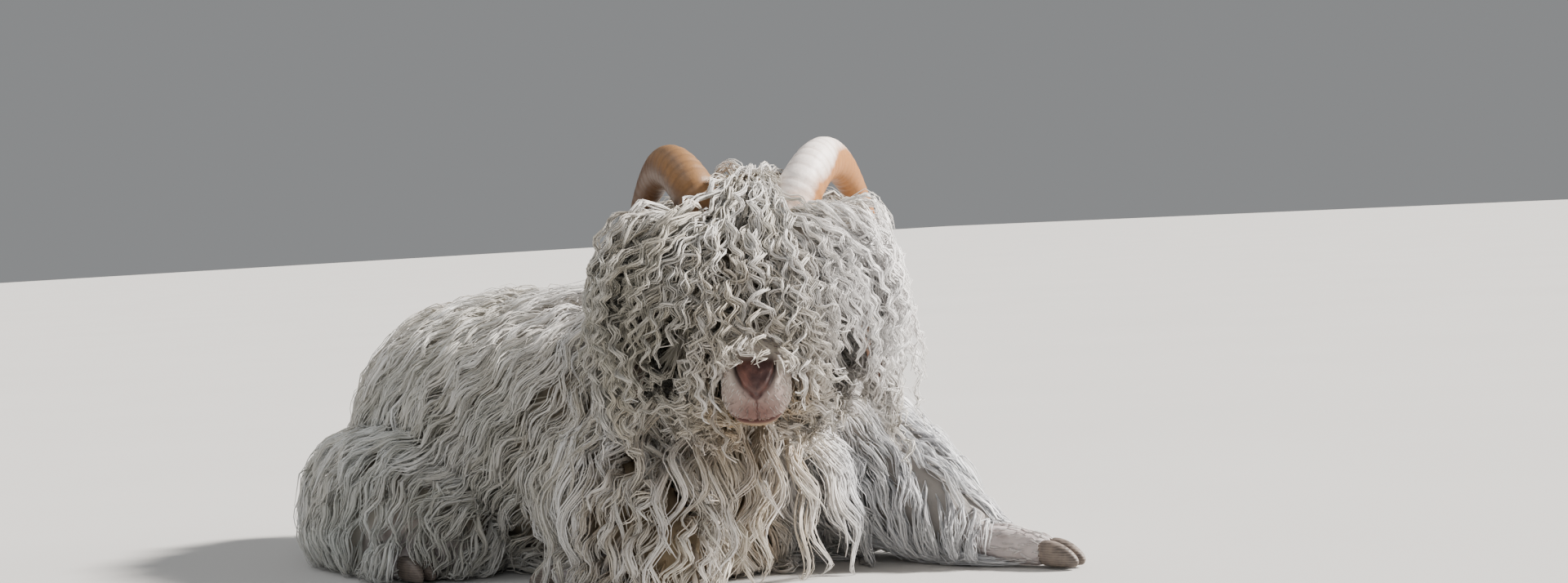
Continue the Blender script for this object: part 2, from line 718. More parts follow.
# Half the nose's width, and how far out from the poll its lower and upper ends are
NOSE_HALF = 0.034
NOSE_LOW, NOSE_HIGH = -0.072, -0.010
# Half the width of the band in the head's middle where the forelock ends in a fringe
FRINGE_HALF = 0.045
# How strongly locks of a kind leave the skin, and how far their ways differ
RISE = {"topknot": 0.9, "brow": 0.9, "cheek": 0.9, "tuft": 1.6, "crown": 1.4}
SPREAD = {"topknot": 0.34, "brow": 0.34, "temple": 0.34, "chest": 0.10}


def clear_of_horns(place):
    """The place, or the nearest one outside the horn, and the share of the horn it is next to."""
    side = 1 if off_middle(place) > 0 else -1
    share = min(HORN_SHARES, key=lambda s: (horn_centre(side, s) - place).length_squared)
    off = place - horn_centre(side, share)
    reach = horn_radius(share) + CLEAR_OF_HORN
    if off.length > reach + TURN_ASIDE:
        return place, 0
    return horn_centre(side, share) + off.normalized() * max(reach, off.length), share


def over_nose(place):
    along, out, left = head_place(place)
    return along > FRINGE_END and abs(left) < NOSE_HALF and NOSE_LOW < out < NOSE_HIGH


def drape(under, root, normal, kind, chance):
    """The middle line of one lock: out of the skin, then along the coat's lie over what is below.

    There is none where it would fly off the head, or lie across the nose or a horn's arch.
    """
    _, length, height, *_, lie = LOCKS[kind]
    length *= chance.uniform(0.8, 1.15)
    lift = height * chance.choice(LIFTS)
    along, _, left = head_place(root)
    # The topknot stands higher towards its sides, and a few of its locks stray
    if kind == "topknot":
        lift *= 0.75 + (1.0 if left > 0 else 1.5) * min(abs(left) / 0.07, 1) ** 2
        if along > 0.01 and chance.random() < STRAY_SHARE:
            lift, length = lift * 1.3, length * 1.1
    # Low on the stretched foreleg locks lie out on the floor, and on the right ear they stand wide
    if kind == "forearm" and root.z < 0.10 and root.y > -0.40:
        length *= 1.5
    if kind == "ear" and left < 0:
        lift *= 2.1
    # The forelock ends in a fringe above the nose
    if kind == "brow":
        length = min(length, (FRINGE_END - along) * chance.uniform(0.92, 1.06) + 0.014)
    if kind == "topknot" and along > -0.03 and abs(left) < FRINGE_HALF:
        length = (FRINGE_END - along) * chance.uniform(0.70, 0.98)
    step = length / GUIDE_STEPS
    rise, spread = RISE.get(kind, 0.6), SPREAD.get(kind, 0.18)
    if kind == "crown" or kind == "topknot" and along < 0.01 and abs(left) < FRINGE_HALF:
        rise = RISE["crown"]
        lift *= 0.7
    stray = Vector([chance.gauss(0, spread) for _ in range(3)])
    heading = (normal * rise + along_surface(lie(root) + stray, normal)).normalized()
    place = root - normal * 0.002
    line, offs = [place.copy()], [normal.copy()]
    for k in range(1, GUIDE_STEPS + 1):
        share = k / GUIDE_STEPS
        place = place + heading * step
        spot, off, _, _ = under.find_nearest(place)
        wanted = lift * min(1, 3.2 * share) * (1 - (0.6 if kind == "ear" else 0.25) * share)
        above = (place - spot).dot(off)
        early = k <= GUIDE_STEPS // 2
        if above > lift + FLYAWAY and early and kind in ("topknot", "crown", "temple"):
            return None
        if above < wanted:
            place = spot + off * (above + (wanted - above) * (0.75 if above > -0.004 else 1))
        way = along_surface(lie(place) + stray, off)
        if above > wanted + 0.004:
            pull = 0.10 if kind in ("topknot", "brow", "chest") else 0.35
            way = (way + DOWN * 0.8 - off * pull).normalized()
        heading = (heading * 0.35 + way).normalized()
        if kind in HORN_KINDS:
            place, beside = clear_of_horns(place)
            if beside > HORN_WRAP:
                return None
        if kind in NOSE_KINDS and over_nose(place):
            return None
        place.z = max(place.z, FLOOR_GAP + FLOOR_GAP * chance.random())
        line.append(place.copy())
        offs.append(off.copy())
    return line, offs


def grow_guides(samples, kinds, order, unders, seed):
    """Guides of each kind as arrays: lines, ways off the skin, and the roots' unwrapped places."""
    spots, normals, unwrapped = samples
    chance = random.Random(seed)
    guides = {}
    for i in thin_out(spots, kinds, order):
        under = unders.get(kinds[i], unders["skin"])
        draped = drape(under, Vector(spots[i]), Vector(normals[i]), kinds[i], chance)
        if not draped:
            continue
        line, offs = draped
        store = guides.setdefault(kinds[i], ([], [], []))
        store[0].append([tuple(p) for p in line])
        store[1].append([tuple(p) for p in offs])
        store[2].append(tuple(unwrapped[i]))
    return {kind: tuple(np.array(rows) for rows in store) for kind, store in guides.items()}


def resample(rows, share):
    """Catmull-Rom points on many lines at once, at each line's own shares of its length."""
    last = rows.shape[1] - 1
    place = share * last
    k = np.minimum(place.astype(int), last - 1)
    t = (place - k)[:, :, None]
    line = np.arange(len(rows))[:, None]
    p, q = rows[line, np.maximum(k - 1, 0)], rows[line, k]
    r, s = rows[line, k + 1], rows[line, np.minimum(k + 2, last)]
    return 0.5 * (2 * q + (r - p) * t + (2 * p - 5 * q + 4 * r - s) * t ** 2
                  + (3 * q - p - 3 * r + s) * t ** 3)


def unit(rows):
    return rows / np.maximum(np.linalg.norm(rows, axis=-1, keepdims=True), 1e-9)


# The way along which neighbouring locks of these kinds wave together
FLOW = {"chest": (0, 0, -1), "neck": (0, 0, -1), "thigh": (0, 0, -1),
        "trunk": (0, 0.55, -0.83), "rump": (0, 0.30, -0.95)}
# A fibre's points for each of its lock's, and the share of the lock by which all have started
FIBRE_POINTS = 0.64
LATEST_START = 0.42
# Locks up to this length have no fibres that start part way
SHORT_HAIR = 0.05
# A lock's core is this part of its radius
CORE_SHARE = 0.28


def fullness(share):
    """How thick a lock is along its length, as a share of its thickest."""
    return np.sin(math.pi * np.clip(0.18 + 0.80 * share, 0, 1)) ** 0.8


def make_strands(guides, kind, seed):
    """One kind of lock as two sets of strands: the locks' cores, and the fibres that leave them."""
    _, full, _, curl, pitch, lock_radius, fibre_radius, fibres, count, _ = LOCKS[kind]
    draw = np.random.default_rng(seed)
    lines, offs, roots = guides
    number = len(lines)

    def vary(low, high):
        return draw.uniform(low, high, (number, 1, 1))

    length = np.linalg.norm(np.diff(lines, axis=1), axis=2).sum(1)[:, None, None]
    onset = 1.5 if kind == "topknot" else 3.0
    tight, hand = vary(0.75, 1.3), draw.choice([-1, 1], (number, 1, 1))
    first_turn, curl_size, flat = vary(0, 2 * math.pi), vary(0.55, 1.25), vary(0.25, 0.95)

    # Here the turns follow the roots' places, so that neighbours wave side by side
    if kind in FLOW:
        tight = 0.80 + 0.36 * tight
        hand = np.ones_like(hand)
        spot = (lines[:, 0] @ np.array(FLOW[kind]))[:, None, None]
        first_turn = 2 * math.pi * spot / pitch + (first_turn - math.pi) * 0.42
        flat = flat * 0.6

    def curled(share):
        """The curled middle line at shares of its length, with its ways across and off the skin."""
        line = resample(lines, share[:, :, 0])
        way = unit(np.gradient(line, axis=1))
        across = unit(np.cross(way, resample(offs, share[:, :, 0])))
        off = np.cross(across, way)
        turn = hand * 2 * math.pi * share * length / (pitch * tight) + first_turn
        size = curl * tight * np.clip(share * onset, 0, 1) * curl_size * (0.8 + 0.4 * share)
        return line + across * np.cos(turn) * size + off * np.sin(turn) * size * flat, across, off

    share = np.broadcast_to(np.linspace(0, 1, count)[None, :, None], (number, count, 1))
    line, _, off = curled(share)
    tint = draw.uniform(0, 1, number)
    body = fullness(share)
    core = lock_radius * CORE_SHARE * body * vary(0.7, 1.1) + 0.0003
    cores = line, core[:, :, 0], off, roots, tint, share[:, :, 0]

    made = []
    points = max(4, round(count * FIBRE_POINTS)) if full > SHORT_HAIR else count
    own_share = np.linspace(0, 1, points)[None, :, None]
    for j in range(fibres):
        start = vary(0.04, LATEST_START) if full > SHORT_HAIR else 0.0
        share = start + (vary(0.80, 1.0) - start) * own_share
        line, across, off = curled(share)
        body = fullness(share)
        stray = draw.random((number, 1, 1)) ** 3
        spin = 2 * math.pi * j / fibres + vary(-0.5, 0.5) + share * vary(-2.0, 2.0)
        apart = lock_radius * vary(0.30, 1.15) * (0.45 + 0.65 * body + 0.9 * stray * share)
        apart = apart * (1 - 0.35 * share ** 2) * np.clip(own_share * 5, 0.2, 1)
        own = 2 * math.pi * share * length / (pitch * vary(0.5, 0.9)) + vary(0, 2 * math.pi)
        wander = curl * (0.07 + 0.45 * stray) * share
        line = (line + across * (np.cos(spin) * apart + np.cos(own) * wander)
                + off * (np.sin(spin) * apart * 0.8 + np.sin(own) * wander))
        thick = fibre_radius * vary(0.65, 1.25) * (1 - 0.45 * stray)
        radius = thick * (1 - 0.80 * own_share ** 2.2) + 0.0001
        own_roots = roots + draw.uniform(-0.0015, 0.0015, (number, 2))
        own_tint = np.clip(tint + draw.normal(0, 0.22, number), 0, 1)
        made.append((line, radius[:, :, 0], off, own_roots, own_tint, share[:, :, 0]))
    return cores, tuple(np.concatenate(rows) for rows in zip(*made))


STRAND_SIDES = 3
FLOOR_CLEAR = 0.0006


def strand_mesh(name, lines, radii, ways, roots, tints, shares):
    """Tapered closed tubes along the lines, as one mesh with its fibre and patch unwraps."""
    number, count, _ = lines.shape
    way = unit(np.gradient(lines, axis=1))
    side = unit(np.cross(way, ways))
    high = np.cross(side, way)
    angles = np.arange(STRAND_SIDES) * 2 * math.pi / STRAND_SIDES + math.pi / 2
    ring = (side[:, :, None] * np.cos(angles)[None, None, :, None]
            + high[:, :, None] * np.sin(angles)[None, None, :, None])
    points = lines[:, :, None] + ring * radii[:, :, None, None]
    points[..., 2] = np.maximum(points[..., 2], FLOOR_CLEAR)
    per = count * STRAND_SIDES
    k = np.arange(STRAND_SIDES)
    quads = []
    for level in range(count - 1):
        a, b = level * STRAND_SIDES + k, level * STRAND_SIDES + (k + 1) % STRAND_SIDES
        quads.append(np.stack([a, b, b + STRAND_SIDES, a + STRAND_SIDES], 1))
    quads = np.concatenate(quads)
    ends = np.array([[2, 1, 0], [per - 3, per - 2, per - 1]])
    base = (np.arange(number) * per)[:, None, None]
    corner = np.concatenate([(quads[None] + base).reshape(number, -1),
                             (ends[None] + base).reshape(number, -1)], 1).ravel()
    starts = np.concatenate([np.arange(len(quads)) * 4,
                             len(quads) * 4 + np.arange(2) * 3])
    loops_per = len(quads) * 4 + 6
    start = (starts[None] + (np.arange(number) * loops_per)[:, None]).ravel()
    mesh = bpy.data.meshes.new(name)
    mesh.vertices.add(number * per)
    mesh.vertices.foreach_set("co", points.reshape(-1).astype(np.float32))
    mesh.loops.add(len(corner))
    mesh.loops.foreach_set("vertex_index", corner.astype(np.int32))
    mesh.polygons.add(len(start))
    mesh.polygons.foreach_set("loop_start", start.astype(np.int32))
    mesh.update(calc_edges=True)
    local = corner.reshape(number, loops_per) - (np.arange(number) * per)[:, None]
    level, around = local // STRAND_SIDES / (count - 1), local % STRAND_SIDES / STRAND_SIDES
    patch = roots[:, None] + np.stack([around, level], 2) * 0.003
    fibre = np.stack([around + tints[:, None], level + roots[:, :1] * 9], 2)
    for layer, values in (("OFBake", patch), ("Fibre", fibre)):
        mesh.uv_layers.new(name=layer).data.foreach_set("uv", values.reshape(-1).astype(np.float32))
    share = np.broadcast_to(shares[:, :, None], (number, count, STRAND_SIDES))
    tint = np.broadcast_to(tints[:, None, None], (number, count, STRAND_SIDES))
    add_values(mesh, "along", share)
    add_values(mesh, "tint", tint)
    mesh.validate()
    mesh.shade_smooth()
    return link(bpy.data.objects.new(name, mesh))


MOST_TRIANGLES = 190000


def coat_pieces(title, strands):
    """A set of strands as pieces that stay under the limit on triangles."""
    lines = strands[0]
    per = (lines.shape[1] - 1) * STRAND_SIDES * 2 + 2
    share = max(1, math.ceil(len(lines) * per / MOST_TRIANGLES))
    made = []
    for part in range(share):
        chosen = slice(part, None, share)
        name = f"mohair_{title}" if share == 1 else f"mohair_{title}_{part + 1}"
        made.append(strand_mesh(name, *[rows[chosen] for rows in strands]))
    return made


# Ears, horns, eyes and hooves


def ear_path(side):
    places = ((0.034, -0.040, 0.012), (0.062, -0.046, 0.012), (0.094, -0.068, 0.004),
              (0.112, -0.105, -0.004), (0.119, -0.140, -0.010), (0.121, -0.166, -0.012))
    return [POLL + LEFT_WAY * side * out + UP * rise - HEADING * back
            for out, rise, back in places]


def make_ear(side):
    halves = (0.014, 0.018, 0.026, 0.028, 0.021, 0.006)
    across_count, ring_count = 16, 36
    rows = smooth_rows([(*c, w) for c, w in zip(ear_path(side), halves)], ring_count)
    points = []
    for i, row in enumerate(rows):
        here = Vector(row[:3])
        way = (Vector(rows[min(i + 1, ring_count - 1)][:3])
               - Vector(rows[max(i - 1, 0)][:3])).normalized()
        across = (HEADING - way * HEADING.dot(way)).normalized()
        out = way.cross(across) * side
        if out.dot(LEFT_WAY * side + UP) < 0:
            out = -out
        cup = 0.62 * row[3] if i else 0.3 * row[3]
        outer, inner = [], []
        for k in range(across_count + 1):
            u = 2 * k / across_count - 1
            ripple = 0.0012 * math.sin(i * 0.9) * u * u
            spot = here + across * u * row[3] - out * (cup * (u * u - 0.4) + ripple)
            edge = 0.0022 * (1 - 0.6 * u * u)
            outer.append(spot + out * edge)
            inner.append(spot - out * edge)
        points += outer + inner[::-1]
    per = 2 * across_count + 2
    first = sum(points[:per], Vector()) / per
    last = sum(points[-per:], Vector()) / per
    points += [first, last + (last - first).normalized() * 0.003]
    made = add_object("ear_skin_" + SIDES[side], points, ring_faces(ring_count, per))
    made.data.shade_smooth()
    return made


def make_horn(side):
    """An open spiral, ringed by growth, ivory to tan, worn smooth at its tip."""
    count, sides = 150, 40
    rows, rings = [], []
    chance = random.Random(21 + side)
    spacing = [chance.uniform(0.2, 1.8) for _ in range(30)]
    for i in range(count):
        share = i / (count - 1)
        wave = share * 24
        ring = math.sin(2 * math.pi * (wave + 0.25 * spacing[int(wave) % 30]))
        strength = 0.009 * (1 - share) * spacing[int(wave) % 30] + 0.002
        half = horn_radius(share) * (1 + strength * ring)
        rows.append((*horn_centre(side, share), half * 0.84, half))
        rings.append(0.5 + 0.5 * ring)
    made = loft("horn_fine_" + SIDES[side], rows, sides, LEFT_WAY)
    add_values(made.data, "ring", np.append(np.repeat(rings, sides), [0.5, 0.5]))
    along = np.repeat(np.linspace(0, 1, count), sides)
    add_values(made.data, "along", np.append(along, [0, 1]))
    under = [0.5 - 0.5 * (point.co - Vector(rows[min(i // sides, count - 1)][:3])).normalized().z
             for i, point in enumerate(made.data.vertices)]
    add_values(made.data, "under", under)
    made.data.shade_smooth()
    return made


IRIS_RADIUS, CORNEA_RISE = 0.0075, 0.0011
PUPIL = (0.0042, 0.0013)


def make_eye(side):
    """The eyeball with a swollen cornea, facing out to the side."""
    bpy.ops.mesh.primitive_uv_sphere_add(segments=48, ring_count=32, radius=EYE_RADIUS)
    made = bpy.context.object
    made.name = "eyeball_" + SIDES[side]
    way = eye_way(side)
    across = (MUZZLE_WAY - way * MUZZLE_WAY.dot(way)).normalized()
    turn = Matrix((across, way.cross(across), way)).transposed()
    view, pupil = [], []
    for point in made.data.vertices:
        spot = point.co.copy()
        apart = math.hypot(spot.x, spot.y)
        if spot.z > 0:
            spot.z += CORNEA_RISE * bump_of(apart, IRIS_RADIUS)
        in_front = spot.z > 0
        view.append(apart / IRIS_RADIUS if in_front else 2)
        pupil.append(math.hypot(spot.x / PUPIL[0], spot.y / PUPIL[1]) if in_front else 5)
        point.co = eye_centre(side) + turn @ spot
    add_values(made.data, "view", view)
    add_values(made.data, "pupil", pupil)
    made.data.shade_smooth()
    return made


def make_claw(node):
    """One claw, from its solid, with its edges rounded."""
    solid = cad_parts[node]
    made = link(bpy.data.objects.new(node + "_fine", solid.data.copy()))
    mesh = bmesh.new()
    mesh.from_mesh(made.data)
    bmesh.ops.remove_doubles(mesh, verts=mesh.verts, dist=1e-5)
    bmesh.ops.dissolve_limit(mesh, angle_limit=math.radians(4), verts=mesh.verts, edges=mesh.edges)
    mesh.to_mesh(made.data)
    mesh.free()
    soften = made.modifiers.new("Subdivision", "SUBSURF")
    soften.levels = soften.render_levels = 3
    apply_modifiers(made)
    rest_on_floor(made, 0.0002)
    made.data.materials.clear()
    made.data.shade_smooth()
    return made


# Materials


def feed(slot, value):
    """Fill a socket with another node's output or a constant. Colours are red, green, blue."""
    if isinstance(value, Value):
        value.tree.links.new(value.socket, slot)
    else:
        slot.default_value = (*value, 1) if slot.type == "RGBA" else value


class Value:
    """A node's output, which takes part in sums."""

    def __init__(self, tree, socket):
        self.tree, self.socket = tree, socket

    def _math(self, operation, first, second):
        node = self.tree.nodes.new("ShaderNodeMath")
        node.operation = operation
        feed(node.inputs[0], first)
        feed(node.inputs[1], second)
        return Value(self.tree, node.outputs[0])

    def __add__(self, other):
        return self._math("ADD", self, other)

    def __radd__(self, other):
        return self._math("ADD", other, self)

    def __sub__(self, other):
        return self._math("SUBTRACT", self, other)

    def __rsub__(self, other):
        return self._math("SUBTRACT", other, self)

    def __mul__(self, other):
        return self._math("MULTIPLY", self, other)

    def __rmul__(self, other):
        return self._math("MULTIPLY", other, self)


class Finish:
    """A material and its nodes. Patterns lie in the model's own metres unless told otherwise."""

    def __init__(self, name):
        self.material = bpy.data.materials.new(name)
        self.material.use_nodes = True
        self.tree = self.material.node_tree
        self.shader = self.tree.nodes["Principled BSDF"]
        self.where = self.node("ShaderNodeTexCoord", out="Object")

    def node(self, kind, settings=None, sockets=None, out=0):
        """A node of a type, with its settings made first and then its sockets."""
        made = self.tree.nodes.new(kind)
        for key, value in (settings or {}).items():
            setattr(made, key, value)
        for key, value in (sockets or {}).items():
            feed(made.inputs[key], value)
        return Value(self.tree, made.outputs[out])

    def attribute(self, name):
        return self.node("ShaderNodeAttribute", {"attribute_name": name}, out="Fac")

    def height(self):
        return self.node("ShaderNodeSeparateXYZ", None, {"Vector": self.where}, out="Z")

    def noise(self, scale, detail=3.0, roughness=0.55, where=None):
        return self.node("ShaderNodeTexNoise", None,
                         {"Vector": where or self.where, "Scale": scale, "Detail": detail,
                          "Roughness": roughness})

    def streaks(self, scales, detail, roughness=0.55, where=None):
        """Noise stretched differently along each axis."""
        stretched = self.node("ShaderNodeMapping", None,
                              {"Vector": where or self.where, "Scale": scales})
        return self.noise(1.0, detail, roughness, stretched)

    def clamp(self, value, low=0.0, high=1.0):
        """A value as its share of the way from low to high, held between 0 and 1."""
        return self.node("ShaderNodeMapRange", None,
                         {"Value": value, "From Min": low, "From Max": high})

    def cloud(self, scale, detail, low, high):
        return self.clamp(self.noise(scale, detail), low, high)

    def near(self, centre, reach):
        """1 at a place of the model, falling to 0 at reach from it."""
        away = self.node("ShaderNodeVectorMath", {"operation": "DISTANCE"},
                         {0: self.where, 1: tuple(centre)}, out="Value")
        return self.clamp(away, reach, 0.0)

    def mix(self, factor, first, second):
        return self.node("ShaderNodeMix", {"data_type": "RGBA"},
                         {0: factor, 6: first, 7: second}, out=2)

    def done(self, colour, roughness, relief=None, others=None):
        """The material, with its relief as (height, strength, distance) and its other sockets."""
        worn = {"Base Color": colour, "Roughness": roughness, **(others or {})}
        if relief:
            sockets = dict(zip(("Height", "Strength", "Distance"), relief))
            worn["Normal"] = self.node("ShaderNodeBump", None, sockets)
        for name, value in worn.items():
            feed(self.shader.inputs[name], value)
        return self.material


def flesh_glow(weight):
    """A little light through the skin, red furthest."""
    return {"Subsurface Weight": weight, "Subsurface Radius": (0.006, 0.003, 0.002)}


MOHAIR_TIP = (0.700, 0.650, 0.560)
MOHAIR_BRIGHT = (0.930, 0.910, 0.885)
MOHAIR_DEEP = (0.150, 0.100, 0.050)
MOHAIR_STAIN = (0.410, 0.265, 0.120)
MOHAIR_COOL = (0.710, 0.750, 0.735)
MOHAIR_OLIVE = (0.300, 0.270, 0.180)
MOHAIR_BLUE = (0.620, 0.660, 0.740)
MOHAIR_SHADE = (0.290, 0.275, 0.215)
MOHAIR_CLEAN = (0.985, 0.965, 0.955)


def marked(finish, body, depth):
    """The coat's markings: brown stains, a cool flank and foreleg, a clean left cheek."""
    cloud = finish.cloud(7.0, 3.0, 0.38, 0.66)
    patch = finish.cloud(12.0, 2.0, 0.45, 0.62)
    face = finish.near(at_head(0.14, -0.08, 0), 0.16)
    chest = finish.near((-0.05, -0.31, 0.03), 0.20)
    chin = finish.near(at_head(0.19, -0.115, 0), 0.080)
    stain = (face * 1.25 + chin * 1.8 + chest * depth * 1.4) * (cloud * 0.70 + 0.26) * depth
    body = finish.mix(finish.clamp(stain), body, MOHAIR_STAIN)
    flank = finish.near((-0.25, 0.14, 0.06), 0.40)
    body = finish.mix(finish.clamp(flank, 0.0, 0.5) * patch * depth * 0.6, body, MOHAIR_OLIVE)
    body = finish.mix(flank * 0.8 * (0.5 + cloud * 0.5), body, MOHAIR_COOL)
    foreleg = finish.near((0.19, -0.36, 0.08), 0.20)
    body = finish.mix(finish.clamp(foreleg, 0.0, 0.5) * 0.6, body, MOHAIR_BLUE)
    shade = finish.near(at_head(0.09, -0.05, -0.11), 0.14)
    body = finish.mix(finish.clamp(shade, 0.0, 0.6) * 0.7, body, MOHAIR_SHADE)
    clean = finish.near(at_head(0.08, -0.03, 0.13), 0.13)
    clean = clean + finish.near((0.0, -0.06, 0.34), 0.20) * 0.5
    clean = clean + finish.near((0.13, -0.24, 0.20), 0.12)
    return finish.mix(finish.clamp(clean, 0.0, 0.5) * 0.95, body, MOHAIR_CLEAN)


def mohair_finish():
    """Lustrous off-white, tan in the depths, with finer hairs along every lock."""
    finish = Finish("mohair_locks")
    along, tint = finish.attribute("along"), finish.attribute("tint")
    fleck = finish.cloud(42.0, 2.0, 0.45, 0.75)
    body = finish.mix(tint, MOHAIR_TIP, MOHAIR_BRIGHT)
    crown = finish.near(at_head(-0.015, 0.040, 0), 0.130)
    deep = finish.clamp(along + finish.clamp(crown, 0.0, 0.6) * 0.50, 0.02, 0.55)
    body = finish.mix(deep, MOHAIR_DEEP, body)
    body = marked(finish, body, 1.0 - along * 0.5)
    body = finish.mix(fleck * 0.22 * (1.0 - along), body, MOHAIR_DEEP)
    fibre = finish.node("ShaderNodeUVMap", {"uv_map": "Fibre"}, out="UV")
    hairs = finish.streaks((26.0, 5.0, 1.0), 4.0, 0.7, fibre)
    return finish.done(body, finish.clamp(hairs) * 0.25 + 0.30, (hairs, 0.55, 0.0012),
                       {"Specular IOR Level": 0.65, "Sheen Weight": 0.12, "Sheen Roughness": 0.4})


SKIN_WOOL = (0.165, 0.125, 0.075)
UNDERWOOL_PALE = (0.270, 0.230, 0.170)
SKIN_SHORT = (0.770, 0.700, 0.610)
NOSE_PINK = (0.040, 0.012, 0.010)
NOSE_PALE = (0.125, 0.047, 0.034)
NOSTRIL_DARK = (0.014, 0.007, 0.006)
LIP_DARK = (0.075, 0.024, 0.020)
LIP_PALE = (0.300, 0.230, 0.205)
LIP_RED = (0.125, 0.055, 0.045)
LIP_HAIR = (0.600, 0.560, 0.520)
CHIN_CREAM = (0.300, 0.205, 0.120)
SHANK_GREY = (0.500, 0.450, 0.445)
SHANK_PALE = (0.700, 0.670, 0.660)


def reddened(finish, colour):
    """The bare red of the lips showing through at the front of the mouth."""
    lips = finish.near(at_head(0.208, -0.050, 0), 0.030)
    return finish.mix(finish.clamp(lips, 0.0, 0.65) * 0.85, colour, LIP_RED)


def face_or_shank(finish, face, shank):
    """One colour on the face, another on the shanks down by the floor."""
    return finish.mix(finish.clamp(finish.height(), 0.10, 0.04), face, shank)


def short_hair_finish():
    """The fine flat hair of the muzzle and shanks, in the skin's own colours."""
    finish = Finish("short_hair")
    tint = finish.attribute("tint")
    chin = finish.near(at_head(0.200, -0.074, 0), 0.030)
    face = reddened(finish, finish.mix(tint, LIP_PALE, LIP_HAIR))
    face = finish.mix(finish.clamp(chin, 0.1, 0.5), face, CHIN_CREAM)
    shank = finish.mix(tint, SHANK_GREY, SHANK_PALE)
    grain = finish.noise(300.0, 2.0)
    return finish.done(face_or_shank(finish, face, shank), 0.55 + grain * 0.2,
                       (grain, 0.2, 0.0004))


def skin_finish():
    """Wool's deep tan under the coat, cream short hair on the muzzle, and a moist pink nose."""
    finish = Finish("skin_and_nose")
    nose = finish.attribute("nose")
    cloud = finish.noise(60.0, 3.0)
    short = face_or_shank(finish, SKIN_SHORT, SHANK_GREY)
    short = finish.mix(finish.clamp(cloud, 0.45, 0.75) * 0.25, short, NOSE_PALE)
    muzzle = finish.near(at_head(0.205, -0.045, 0), 0.055)
    short = finish.mix(finish.clamp(muzzle, 0.0, 0.5), short, LIP_PALE)
    short = finish.mix(finish.attribute("chin"), reddened(finish, short), CHIN_CREAM)
    fluff = finish.streaks((300.0, 300.0, 90.0), 3.0)
    wool = marked(finish, finish.mix(fluff, SKIN_WOOL, UNDERWOOL_PALE), 1.0)
    wool = finish.mix(0.55, wool, SKIN_WOOL)
    colour = finish.mix(finish.attribute("bare"), wool, short)
    pad = finish.mix(finish.clamp(cloud, 0.40, 0.66), NOSE_PINK, NOSE_PALE)
    colour = finish.mix(nose, colour, pad)
    colour = finish.mix(finish.clamp(finish.attribute("lip"), 0.1, 0.9) * 0.9, colour, LIP_DARK)
    colour = finish.mix(finish.attribute("lid") * 0.7, colour, LIP_DARK)
    hollow = finish.clamp(finish.attribute("hollow"), 0.15, 0.7)
    colour = finish.mix(hollow, colour, NOSTRIL_DARK)
    grain = finish.streaks((900.0, 900.0, 300.0), 2.0)
    pores = finish.node("ShaderNodeTexVoronoi", None, {"Vector": finish.where, "Scale": 950.0})
    return finish.done(colour, 0.80 - nose * 0.42 + grain * 0.1,
                       (pores * nose + grain * (1.0 - nose), 0.5, 0.0006), flesh_glow(0.06))


EAR_PALE, EAR_DARK = (0.560, 0.440, 0.350), (0.430, 0.270, 0.210)
# For each side, the colour of the ear's tip and the height up to which it reaches
EAR_TIP = {-1: ((0.070, 0.050, 0.040), 0.330), 1: ((0.480, 0.250, 0.190), 0.265)}


def ear_finish(name, tip_colour, tip_top):
    finish = Finish(name)
    cloud = finish.cloud(45.0, 3.0, 0.40, 0.68)
    tip = finish.clamp(finish.height(), tip_top, tip_top - 0.04) * 0.85
    colour = finish.mix(cloud, EAR_PALE, EAR_DARK)
    return finish.done(finish.mix(tip, colour, tip_colour), 0.55 + cloud * 0.2,
                       (finish.noise(380.0), 0.35, 0.0008), flesh_glow(0.08))


# For each side, a horn's pale, warm and dark colours
HORN_COLOURS = {
    -1: ((0.230, 0.115, 0.042), (0.105, 0.044, 0.013), (0.045, 0.021, 0.009)),
    1: ((0.950, 0.860, 0.810), (0.370, 0.150, 0.035), (0.210, 0.085, 0.030)),
}


def horn_finish(name, pale, warm, dark):
    """Ringed horn: paler near its root, warm below, with fine grain."""
    finish = Finish(name)
    ring, along = finish.attribute("ring"), finish.attribute("along")
    under = finish.attribute("under") + finish.cloud(26.0, 4.0, 0.35, 0.68) * 0.25
    grain = finish.noise(240.0, 4.0, 0.7)
    beyond = finish.clamp(along, 0.30, 0.52) * 0.42
    body = finish.mix(finish.clamp(under + beyond, 0.42, 0.72), pale, warm)
    body = finish.mix(finish.clamp(along, 0.40, 0.95) * 0.6, body, dark)
    body = finish.mix(finish.clamp(ring, 0.30, 0.0) * 0.28, body, dark)
    body = finish.mix(finish.clamp(grain, 0.52, 0.80) * 0.35, body, dark)
    return finish.done(body, 0.36 + grain * 0.28, (grain * 0.7 + ring * 0.3, 0.45, 0.0012))


HOOF_DARK, HOOF_GREY = (0.070, 0.055, 0.048), (0.190, 0.150, 0.125)
HOOF_RING = (0.260, 0.215, 0.180)


def hoof_finish():
    finish = Finish("hoof_horn")
    level = finish.node("ShaderNodeTexWave", {"bands_direction": "Z"},
                        {"Vector": finish.where, "Scale": 120.0, "Distortion": 2.2, "Detail": 3.0})
    cloud = finish.cloud(90.0, 3.0, 0.35, 0.7)
    body = finish.mix(cloud, HOOF_DARK, HOOF_GREY)
    body = finish.mix(level * 0.35, body, HOOF_RING)
    return finish.done(body, 0.45 + cloud * 0.25, (level, 0.4, 0.0006))


IRIS_BROWN, IRIS_AMBER, IRIS_EDGE = (0.30, 0.17, 0.05), (0.58, 0.40, 0.15), (0.06, 0.03, 0.02)
EYE_WHITE, PUPIL_BLACK = (0.30, 0.22, 0.18), (0.006, 0.005, 0.006)


